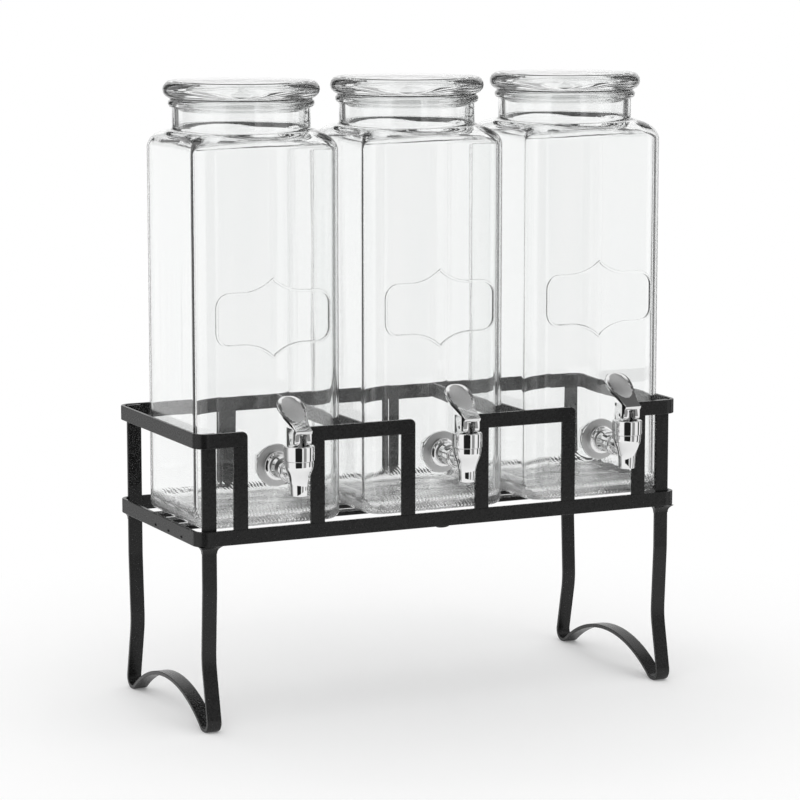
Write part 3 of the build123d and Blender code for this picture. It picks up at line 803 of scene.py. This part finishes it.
# %% Turn the shank
shank_corners = [
    (0, thread_end, 0),
    (thread_radius, thread_end, 1.0 * MM),
    (thread_radius, flange_back, 0),
    (flange_radius, flange_back, 0.5 * MM),
    (flange_radius, flange_front, 0.7 * MM),
    (bell_radius, flange_front, 0.5 * MM),
    (10.7 * MM, 7.8 * MM, 0.8 * MM),
    (8.6 * MM, 8.2 * MM, 0.5 * MM),
    (8.3 * MM, 13.6 * MM, 0.8 * MM),
    (shank_radius, 17.2 * MM, 2.0 * MM),
    (shank_radius, collar_back, 0.4 * MM),
    (collar_radius, collar_back, 0.6 * MM),
    (collar_radius, collar_front, 0.6 * MM),
    (shank_radius, collar_front, 0.4 * MM),
    (shank_radius, barrel_reach, 0),
    (0, barrel_reach, 0),
]
tap_casting = loose_object("tap_casting", lay_level(shank_corners))
print("faces of the shank:", len(tap_casting.data.polygons))

# %% The barrel and nozzle
outlet_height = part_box("tap_body_1")[0].z
outlet_radius = 6.2 * MM
nozzle_radius = 6.5 * MM
nozzle_length = 5.7 * MM
barrel_top, bonnet_top = [corner.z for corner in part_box("bonnet_1")]
barrel_radius = 10.5 * MM
barrel_band = 3.2 * MM
spigot_radius = 9.0 * MM
spigot_top = barrel_top + 6.8 * MM
joint_gap = 0.35 * MM
taper_low = Vector((nozzle_radius, outlet_height + nozzle_length))
taper_high = Vector((barrel_radius, barrel_top - barrel_band))
pull_low = taper_low + Vector((0, 8.5 * MM))
pull_high = taper_high - Vector((0, 5.0 * MM))
belly_places = interpolate_bezier(taper_low, pull_low, pull_high, taper_high, 19)
outlet_corner = (outlet_radius, outlet_height, 0.5 * MM)
nozzle_places = soften([(0, outlet_height, 0), outlet_corner, (*taper_low, 0)])
spigot_places = soften(
    [
        (*taper_high, 0),
        (barrel_radius, barrel_top - joint_gap, 0.15 * MM),
        (spigot_radius, barrel_top - joint_gap, 0),
        (spigot_radius, spigot_top, 0.3 * MM),
        (0, spigot_top, 0),
    ]
)
barrel = loose_object("barrel", turn(nozzle_places[:-1] + belly_places + spigot_places[1:]))
combine(tap_casting, barrel, "UNION")
print("faces with the barrel:", len(tap_casting.data.polygons))

# %% The drink's way
outlet_bore = 4.2 * MM
chamber_bore = 6.2 * MM
shank_bore = 3.2 * MM
seat_height = tap_height - 3.6 * MM
seat_round = 0.3 * MM
overrun = MM
way_foot = outlet_height - overrun
way_top = spigot_top + overrun
way_corners = [
    (0, way_foot, 0),
    (outlet_bore, way_foot, 0),
    (outlet_bore, seat_height, seat_round),
    (chamber_bore, seat_height, seat_round),
    (chamber_bore, way_top, 0),
    (0, way_top, 0),
]
bore_corners = [
    (0, thread_end - overrun, 0),
    (shank_bore, thread_end - overrun, 0),
    (shank_bore, barrel_reach, 0),
    (0, barrel_reach, 0),
]
combine(tap_casting, loose_object("way", turn(soften(way_corners))), "DIFFERENCE")
combine(tap_casting, loose_object("bore", lay_level(bore_corners)), "DIFFERENCE")
print("faces once bored:", len(tap_casting.data.polygons))

# %% [markdown]
# The ring of the flange that faces forwards is brushed, not polished. It is no piece of its
# own, so its faces get the second finish. They are found by their place: on the plane of the
# ring, and outside the bell.

# %% The flange's brushed face
ring_slack = 0.15 * MM
ring_plane = barrel_reach - flange_front
brushed = 0
for face in tap_casting.data.polygons:
    off_axis = Vector((face.center.x, face.center.z - tap_height)).length
    on_ring = abs(face.center.y - ring_plane) < ring_slack and off_axis > bell_radius
    face.material_index = int(on_ring)
    brushed += on_ring
print("brushed faces:", brushed)
put_copies(tap_casting, barrel_axis, "jar", "tap_body", "chrome", chrome, satin_chrome)

# %% [markdown]
# The bonnet is the cap that screws over the barrel. A thin dark line shows where they meet,
# so its foot has a small round and the body's shoulder has one too.

# %% The bonnet
bonnet_radius = 11.2 * MM
bonnet_bore = spigot_radius + hair
bonnet_ceiling = bonnet_top - 3.5 * MM + hair
stem_hole = 2.5 * MM + hair
bonnet_corners = [
    (stem_hole, bonnet_top, 0.2 * MM),
    (bonnet_radius, bonnet_top, 0.9 * MM),
    (bonnet_radius, barrel_top, 0.25 * MM),
    (bonnet_bore, barrel_top, 0.2 * MM),
    (bonnet_bore, bonnet_ceiling, 0.5 * MM),
    (stem_hole, bonnet_ceiling, 0.2 * MM),
]
cap = loose_object("bonnet_cap", turn(soften(bonnet_corners, closed=True), closed=True))
put_copies(cap, barrel_axis, "jar", "bonnet", "chrome", chrome)

# %% [markdown]
# ## The lever
# The lever is cast in one: a forked hub whose lower front edge is the cam, and a long dished
# paddle that leans back. The hub is a side outline, extruded across and slotted. The paddle
# starts as a grid, with rows closer together towards the tip, which gets its leaf shape, a
# slight bend and its thickness. An egg-shaped cutter leaves the crisp edge round the dish.

# %% The hub
hub_half = 6.5 * MM
hub_height = 12.5 * MM
hub_reach = 7.5 * MM
cam_middle = Vector((3.5, 4.0)) * MM
cam_round = 4.0 * MM

cam_angles = [radians(angle) for angle in range(-90, 1, 10)]
hub_line = [cam_middle + cam_round * Vector((cos(a), sin(a))) for a in cam_angles]
hub_line.append(Vector((hub_reach, hub_height)))
hub_line.append(Vector((-hub_reach, hub_height)))
hub_line.append(Vector((-hub_reach, 0)))
bm = bmesh.new()
side = bm.faces.new([bm.verts.new((-hub_half, -place.x, bonnet_top + place.y)) for place in hub_line])
swept = bmesh.ops.extrude_face_region(bm, geom=[side])["geom"]
moved = [item for item in swept if isinstance(item, bmesh.types.BMVert)]
bmesh.ops.translate(bm, verts=moved, vec=(2 * hub_half, 0, 0))
point_outwards(bm)
cast_lever = loose_object("cast_lever", bm)

# %% Fork the hub
fork_half = 2.7 * MM
fork_height = 8.7 * MM
slot_low = Vector((-fork_half, -2 * hub_reach, bonnet_top - overrun))
slot_high = Vector((fork_half, 2 * hub_reach, bonnet_top + fork_height))
bm = bmesh.new()
bmesh.ops.create_cube(bm, size=1)
bmesh.ops.scale(bm, verts=bm.verts, vec=slot_high - slot_low)
bmesh.ops.translate(bm, verts=bm.verts, vec=(slot_high + slot_low) / 2)
combine(cast_lever, loose_object("slot", bm), "DIFFERENCE")
print("faces of the forked hub:", len(cast_lever.data.polygons))

# %% The paddle's sizes
paddle_slope = radians(35.5)
paddle_length = 35.2 * MM
paddle_thickness = 2.6 * MM
paddle_sag = 0.8 * MM
paddle_half = 10.4 * MM
tip_length = 11 * MM
tip_fullness = 2.6
swell_start = 3 * MM
swell_end = paddle_length - tip_length
root_overlap = 2.5 * MM
broad_rows = 20
tip_rows = 30
tip_angle = radians(88)
columns = 17
root = Vector((0, -hub_reach, bonnet_top + hub_height))
along = Vector((0, cos(paddle_slope), sin(paddle_slope)))
outward = Vector((0, -sin(paddle_slope), cos(paddle_slope)))


# %% The paddle's form
def paddle_half_width(reach):
    """Return half the paddle's width at a distance from its root."""
    if reach > swell_end:
        share = min(1, (reach - swell_end) / tip_length)
        return paddle_half * (1 - share**tip_fullness) ** (1 / tip_fullness)
    share = max(0, (reach - swell_start) / (swell_end - swell_start))
    return hub_half + (paddle_half - hub_half) * share**2 * (3 - 2 * share)


def paddle_bend(reach):
    """Return how far the paddle sags at a distance from its root."""
    return paddle_sag * (1 - (2 * reach / paddle_length - 1) ** 2)


# %% Make the paddle
broad_length = swell_end + root_overlap
reaches = [-root_overlap + broad_length * step / broad_rows for step in range(broad_rows)]
for step in range(tip_rows + 1):
    reaches.append(swell_end + tip_length * sin(tip_angle * step / tip_rows))
bm = bmesh.new()
bmesh.ops.create_grid(bm, x_segments=columns - 1, y_segments=len(reaches) - 1, size=1)
for vert in bm.verts:
    reach = reaches[round((vert.co.y + 1) / 2 * (len(reaches) - 1))]
    middle = root + along * reach - outward * paddle_bend(reach)
    vert.co = middle + Vector((vert.co.x * paddle_half_width(reach), 0, 0))
point_outwards(bm)
upward = sum(face.normal.dot(outward) for face in bm.faces)
if upward < 0:
    bmesh.ops.reverse_faces(bm, faces=bm.faces)
bmesh.ops.solidify(bm, geom=bm.faces[:], thickness=paddle_thickness)
point_outwards(bm)
combine(cast_lever, loose_object("paddle", bm), "UNION")
print("rows of the paddle:", len(reaches))

# %% The dish
dish_half = Vector((7.8, 11.5)) * MM
dish_depth = 1.1 * MM
dish_margin = 2.6 * MM
cutter_height = 2.2 * MM
cutter_lift = cutter_height - dish_depth
cutter_share = (1 - (cutter_lift / cutter_height) ** 2) ** 0.5
cutter_size = Vector((dish_half.x / cutter_share, dish_half.y / cutter_share, cutter_height))
dish_middle = paddle_length - dish_margin - dish_half.y
dish_lift = cutter_lift - paddle_bend(dish_middle)
dish_place = root + along * dish_middle + outward * dish_lift
bm = bmesh.new()
bmesh.ops.create_uvsphere(bm, u_segments=96, v_segments=48, radius=1)
bmesh.ops.scale(bm, verts=bm.verts, vec=cutter_size)
bmesh.ops.rotate(bm, verts=bm.verts, cent=(0, 0, 0), matrix=Matrix.Rotation(paddle_slope, 3, "X"))
bmesh.ops.translate(bm, verts=bm.verts, vec=dish_place)
combine(cast_lever, loose_object("dish", bm), "DIFFERENCE")

# %% [markdown]
# The dish is satin like the flange's ring. Its faces lie on the cutter: turned back and scaled
# by the cutter's size, they are all at a distance of one from its middle.

# %% Find the dish's faces
dish_slack = 0.03
turn_back = Matrix.Rotation(-paddle_slope, 3, "X")
in_dish = 0
for face in cast_lever.data.polygons:
    place = turn_back @ (face.center - dish_place)
    scaled = Vector([offset / size for offset, size in zip(place, cutter_size)])
    face.material_index = int(abs(scaled.length - 1) < dish_slack)
    in_dish += face.material_index
print("faces in the dish:", in_dish)

# %% Round the lever's edges
rounding = cast_lever.modifiers.new("round", "BEVEL")
rounding.width = 0.35 * MM
rounding.segments = 3
rounding.angle_limit = radians(32)
apply_modifiers(cast_lever)
put_copies(cast_lever, barrel_axis, "lever", "lever", "chrome", chrome, satin_chrome)

# %% [markdown]
# Inside the glass a hexagon nut clamps the tap. Its corners are chamfered as on any nut: the
# prism is cut back to a turned shape with sloping shoulders, and bored.

# %% The nut
nut_low, nut_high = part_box("tap_nut_1")
nut_thickness = nut_high.y - nut_low.y
nut_corner = 13.5 * MM
nut_bore = 8.05 * MM
nut_face_radius = 12.2 * MM
chamfer_radius = 13.6 * MM
nut_half = nut_thickness / 2
chamfer_start = nut_half - 0.9 * MM
hexagon_nut = loose_object("hexagon_nut", level_prism(nut_corner, nut_thickness, 6))
nut_outline = [
    (nut_bore, -nut_half, 0.3 * MM),
    (nut_face_radius, -nut_half, 0),
    (chamfer_radius, -chamfer_start, 0),
    (chamfer_radius, chamfer_start, 0),
    (nut_face_radius, nut_half, 0),
    (nut_bore, nut_half, 0.3 * MM),
]
bm = turn(soften(nut_outline, closed=True), closed=True)
bmesh.ops.transform(bm, verts=bm.verts, matrix=lying)
combine(hexagon_nut, loose_object("nut_shape", bm), "INTERSECT")


def nut_axis(number):
    """Return the middle of a jar's nut."""
    low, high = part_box(f"tap_nut_{number}")
    return (low + high) / 2


put_copies(hexagon_nut, nut_axis, "jar", "tap_nut", "chrome", chrome)

# %% [markdown]
# Inside the bonnet a coil spring presses the stem down. The construction model has a plain
# sleeve there. The coil rides on the stem, and each copy gets a mesh of its own.

# %% The valve spring
spring_low, spring_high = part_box("valve_spring_1")
wire_radius = 0.42 * MM
coil_radius = (spring_high.x - spring_low.x) / 2 - wire_radius
coil_turns = 5
turn_steps = 24
coil_steps = coil_turns * turn_steps
coil_low = spring_low.z + wire_radius + hair
coil_high = spring_high.z - wire_radius - hair
coil_line = []
for step in range(coil_steps + 1):
    angle = 2 * pi * step / turn_steps
    height = coil_low + (coil_high - coil_low) * step / coil_steps
    coil_line.append((coil_radius * cos(angle), coil_radius * sin(angle), height))
coil = tube("coil_spring", coil_line, wire_radius, loop=False)
springs = put_copies(coil, barrel_axis, "stem", "valve_spring", "steel", steel)
for number, spring in zip(numbers, springs):
    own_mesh(spring)

# %% [markdown]
# ## Welds
# The welds are one node. Where a leg leaves the bottom rail, the real weld is drawn out into
# a hollow flare, so the node gets a finished stand-in: four flares, grown row by row from
# the leg up to the rail, and a small plate that fills each rail corner behind its leg.

# %% The welds' sizes
bar_width = 11 * MM
bar_thickness = 3 * MM
rail_corner = 10 * MM
leg_side_gap = 2.8 * MM
flare_height = 6.0 * MM
flare_spread = 3.4 * MM
flare_reach = 2.2 * MM
flare_overlap = 0.1 * MM
flare_hollow = 2.6
flare_steps = 10
plate_height = 8 * MM
plate_leg = 2.6 * MM
plate_gap = 0.05 * MM
rail_low, rail_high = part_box("bottom_rail")
top_rail_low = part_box("top_rail")[0]
rail_middle_y = (rail_low.y + rail_high.y) / 2
inner_half = Vector((rail_high.x - bar_thickness, (rail_high.y - rail_low.y) / 2 - bar_thickness))
inner_corner = rail_corner - bar_thickness
leg_x = inner_half.x - leg_side_gap - bar_width / 2
leg_inner_x = leg_x - bar_width / 2
corner_reach = (inner_corner**2 - (inner_corner - leg_side_gap) ** 2) ** 0.5
leg_outer_y = inner_half.y - inner_corner + corner_reach - plate_gap
print("legs apart in mm:", round(2 * leg_x / MM, 1))


# %% Rows of the welds
def mirrored(corners, right, front):
    """Lay corners that are given for one leg at another, by the signs of its two sides."""
    return [(right * x, rail_middle_y + front * y) for x, y in corners]


def flare_rows(right, front):
    """List the rows of one flare, which widens and comes forward towards the rail."""
    rows = []
    inner = leg_outer_y - bar_thickness - flare_overlap
    for step in range(flare_steps + 1):
        share = (step / flare_steps) ** flare_hollow
        half = bar_width / 2 + flare_overlap + flare_spread * share
        outer = leg_outer_y + flare_overlap + (inner_half.y + flare_reach - leg_outer_y) * share
        left = leg_x - half
        far = leg_x + half
        corners = [(left, inner), (far, inner), (far, outer), (left, outer)]
        height = rail_low.z - flare_height * (1 - step / flare_steps)
        rows.append((mirrored(corners, right, front), height))
    return rows


def plate_rows(right, front, rail_foot):
    """List the two rows of the plate that fills a rail corner."""
    corners = [
        (inner_half.x - inner_corner, leg_outer_y),
        (leg_inner_x, leg_outer_y),
        (leg_inner_x, inner_half.y - plate_leg),
        (leg_inner_x - plate_leg, inner_half.y),
        (inner_half.x - inner_corner, inner_half.y),
    ]
    places = mirrored(corners, right, front)
    foot = rail_foot + (bar_width - plate_height) / 2
    return [(places, foot), (places, foot + plate_height)]


# %% Grow the welds
bm = bmesh.new()
for right in (-1, 1):
    for front in (-1, 1):
        grow_block(bm, flare_rows(right, front))
        for rail_foot in (rail_low.z, top_rail_low.z):
            grow_block(bm, plate_rows(right, front, rail_foot))
point_outwards(bm)
drawn_welds = loose_object("drawn_welds", bm)
drawn_welds.data.materials.append(powder_coat)
smooth(drawn_welds.data)
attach(drawn_welds, "stand")
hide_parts("stand_welds")
print("weld faces:", len(drawn_welds.data.polygons))

# %% [markdown]
# ## Weld beads
# The bottom rail is one bent bar. Where its ends meet at the front, the weld shows as a flat
# bead below the edge. On the left side a small spot marks the end of each support bar, in a
# darker tone that is painted shade of the small hollow there. They are too small for the
# construction model, so they are loose beads that ride on the stand.

# %% Lay the beads
dull = {"Specular IOR Level": 0.1}
# The spots are darker than the coat: painted shade of the small hollow at each spot. Their duller gloss
# is real roughness.
weld_spot_painted_shade = plain_finish("weld spot painted shade", (0.002, 0.004), (0.7, 0.9), 700, 0.08 * MM, dull)
butt_shift = Vector((-2, 1.5, 0)) * MM
butt_half = Vector((5.5, 1.4, 1.3)) * MM
spot_half = Vector((0.35, 2.3, 1.0)) * MM
spot_shift_share = -0.38
spot_sink = 0.1 * MM
spot_height = 3 * MM


def add_bead(name, place, half, finish):
    """Lay a small flattened weld bead on the stand."""
    bm = bmesh.new()
    bmesh.ops.create_uvsphere(bm, u_segments=32, v_segments=16, radius=1)
    bmesh.ops.scale(bm, verts=bm.verts, vec=half)
    bmesh.ops.translate(bm, verts=bm.verts, vec=place)
    bead = loose_object(name, bm)
    bead.data.materials.append(finish)
    bead.data.shade_smooth()
    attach(bead, "stand")


butt_place = Vector((0, rail_low.y, rail_low.z)) + butt_shift
add_bead("butt_bead", butt_place, butt_half, powder_coat)
bar_boxes = [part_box(f"support_bar_{number}") for number in numbers]
bar_places = [(low.y + high.y) / 2 for low, high in bar_boxes]
bar_spacing = abs(bar_places[1] - bar_places[0])
for number, bar_y in zip(numbers, bar_places):
    spot_y = bar_y + spot_shift_share * bar_spacing
    spot_place = Vector((rail_low.x + spot_sink, spot_y, rail_low.z + spot_height))
    add_bead(f"bar_end_bead_{number}", spot_place, spot_half, weld_spot_painted_shade)
print("bead spacing in mm:", round(bar_spacing / MM, 1))

# %% [markdown]
# ## The room
# The object stands on a small pale disc of floor. The floor reflects nine tenths of the
# light, and the rays that the camera sees get the missing tenth as a glow, so that it comes
# out white and still keeps the soft shadow of the stand. Further out the disc turns into
# plain white and meets the background without an edge. Rays that metal and glass pass on
# count as seen too, or the floor would look grey in them.

# %% Floor disc
floor_radius = 0.62
floor_tone = 0.9
bm = bmesh.new()
bmesh.ops.create_circle(bm, cap_ends=True, radius=floor_radius, segments=turned_segments)
floor = loose_object("floor", bm)
floor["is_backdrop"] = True
pale = (floor_tone, floor_tone, floor_tone, 1)
matt = {"Base Color": pale, "Roughness": 0.9, "Specular IOR Level": 0}
material, tree, shader = new_material("floor white", matt)
floor.data.materials.append(material)
print("floor radius in m:", floor_radius)

# %% The floor's glow
path = add_node(tree, "LightPath", {}).outputs
seen = add_math(tree, "MAXIMUM", path["Is Glossy Ray"], path["Is Transmission Ray"])
seen = add_math(tree, "MAXIMUM", seen, path["Is Camera Ray"])
missing = add_math(tree, "MULTIPLY", seen, 1 - floor_tone)
glow = add_node(tree, "Emission", {"Strength": missing}).outputs["Emission"]
lit = add_node(tree, "AddShader", {0: shader.outputs["BSDF"], 1: glow}).outputs["Shader"]

# %% Fade to plain white
fade_start = 0.26
fade_end = 0.56
plain_white = add_node(tree, "Emission", {"Strength": seen}).outputs["Emission"]
place = add_node(tree, "TexCoord", {}).outputs["Object"]
distance = add_node(tree, "VectorMath", {0: place})
distance.operation = "LENGTH"
fade = add_range(tree, distance.outputs["Value"], fade_start, fade_end)
blend = add_node(tree, "MixShader", {"Fac": fade, 1: lit, 2: plain_white}).outputs["Shader"]
tree.links.new(blend, tree.nodes["Material Output"].inputs["Surface"])
print("floor shader nodes:", len(tree.nodes))

# %% [markdown]
# Clear glass and chrome show the room. In an all-white room they nearly vanish, so a studio
# hangs dark cloths between its white walls. Here the world does that. The camera sees plain
# white, opaque surfaces get an even light, and the rays that come off metal or out of glass
# meet upright dark bands at a few compass directions. Glass shows them more weakly, because in
# clear glass a full black band looks like dirt.

# %% The walls' bands
band_edge = 3.0
behind_tone = 0.015
bands = (
    (-154.6, 25.0, behind_tone),
    (-55.0, 12.0, 0.50),
    (-9.0, 7.0, 0.05),
    (70.0, 12.0, 0.12),
    (110.0, 6.0, 0.06),
    (157.5, 10.0, 0.30),
)


def add_bands(tree, yaw):
    """Turn a compass direction in degrees into the tone of the walls there."""
    compass = add_range(tree, yaw, -180, 180)
    ramp = add_node(tree, "ValToRGB", {"Fac": compass})
    stops = [(-180.0, behind_tone)]
    for middle, half_width, tone in bands:
        stops.append((middle - half_width - band_edge, 1.0))
        stops.append((middle - half_width, tone))
        stops.append((middle + half_width, tone))
        stops.append((middle + half_width + band_edge, 1.0))
    stops = sorted(stop for stop in stops if stop[0] >= -180.0)
    elements = ramp.color_ramp.elements
    for direction, tone in stops:
        element = elements.new(direction / 360 + 0.5)
        element.color = (tone, tone, tone, 1)
    elements.remove(elements[0])
    elements.remove(elements[-1])
    return ramp.outputs["Color"]


# %% World
glass_contrast = 0.52
world = bpy.data.worlds.new("studio")
scene.world = world
world.use_nodes = True
tree = world.node_tree
look = add_node(tree, "TexCoord", {}).outputs["Generated"]
axes = add_node(tree, "SeparateXYZ", {"Vector": look}).outputs
yaw = add_math(tree, "ARCTAN2", axes["X"], axes["Y"])
walls = add_bands(tree, add_math(tree, "MULTIPLY", yaw, 180 / pi))
path = add_node(tree, "LightPath", {}).outputs
through = add_math(tree, "MULTIPLY", path["Is Transmission Ray"], glass_contrast)
shiny_share = add_math(tree, "MAXIMUM", path["Is Glossy Ray"], through)
tone = add_node(tree, "Mix", {})
tone.data_type = "RGBA"
set_sockets(tree, tone, {"Factor": shiny_share, "A": (1, 1, 1, 1), "B": walls})
set_sockets(tree, tree.nodes["Background"], {"Color": tone.outputs["Result"], "Strength": 1})
print("dark bands of the walls:", len(bands))

# %% [markdown]
# The camera stands to the left of the middle and looks a little down. It is far away with a
# long lens, as the photographer's was, so that the three jars differ little in size.

# %% Camera
look_down = radians(8.80)
look_right = radians(25.439)
camera_data = bpy.data.cameras.new("camera")
camera = add_object("camera", camera_data)
camera.location = (-1.0577, -2.2030, 0.6046)
camera.rotation_euler = (pi / 2 - look_down, 0, -look_right)
camera_data.lens = 146.05
camera_data.sensor_width = 36
scene.camera = camera
scene.view_settings.view_transform = "Standard"
print("camera height in m:", round(camera.location.z, 3))

# %% [markdown]
# The last step works out the box that the dressed object fills.

# %% Finish
low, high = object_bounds()
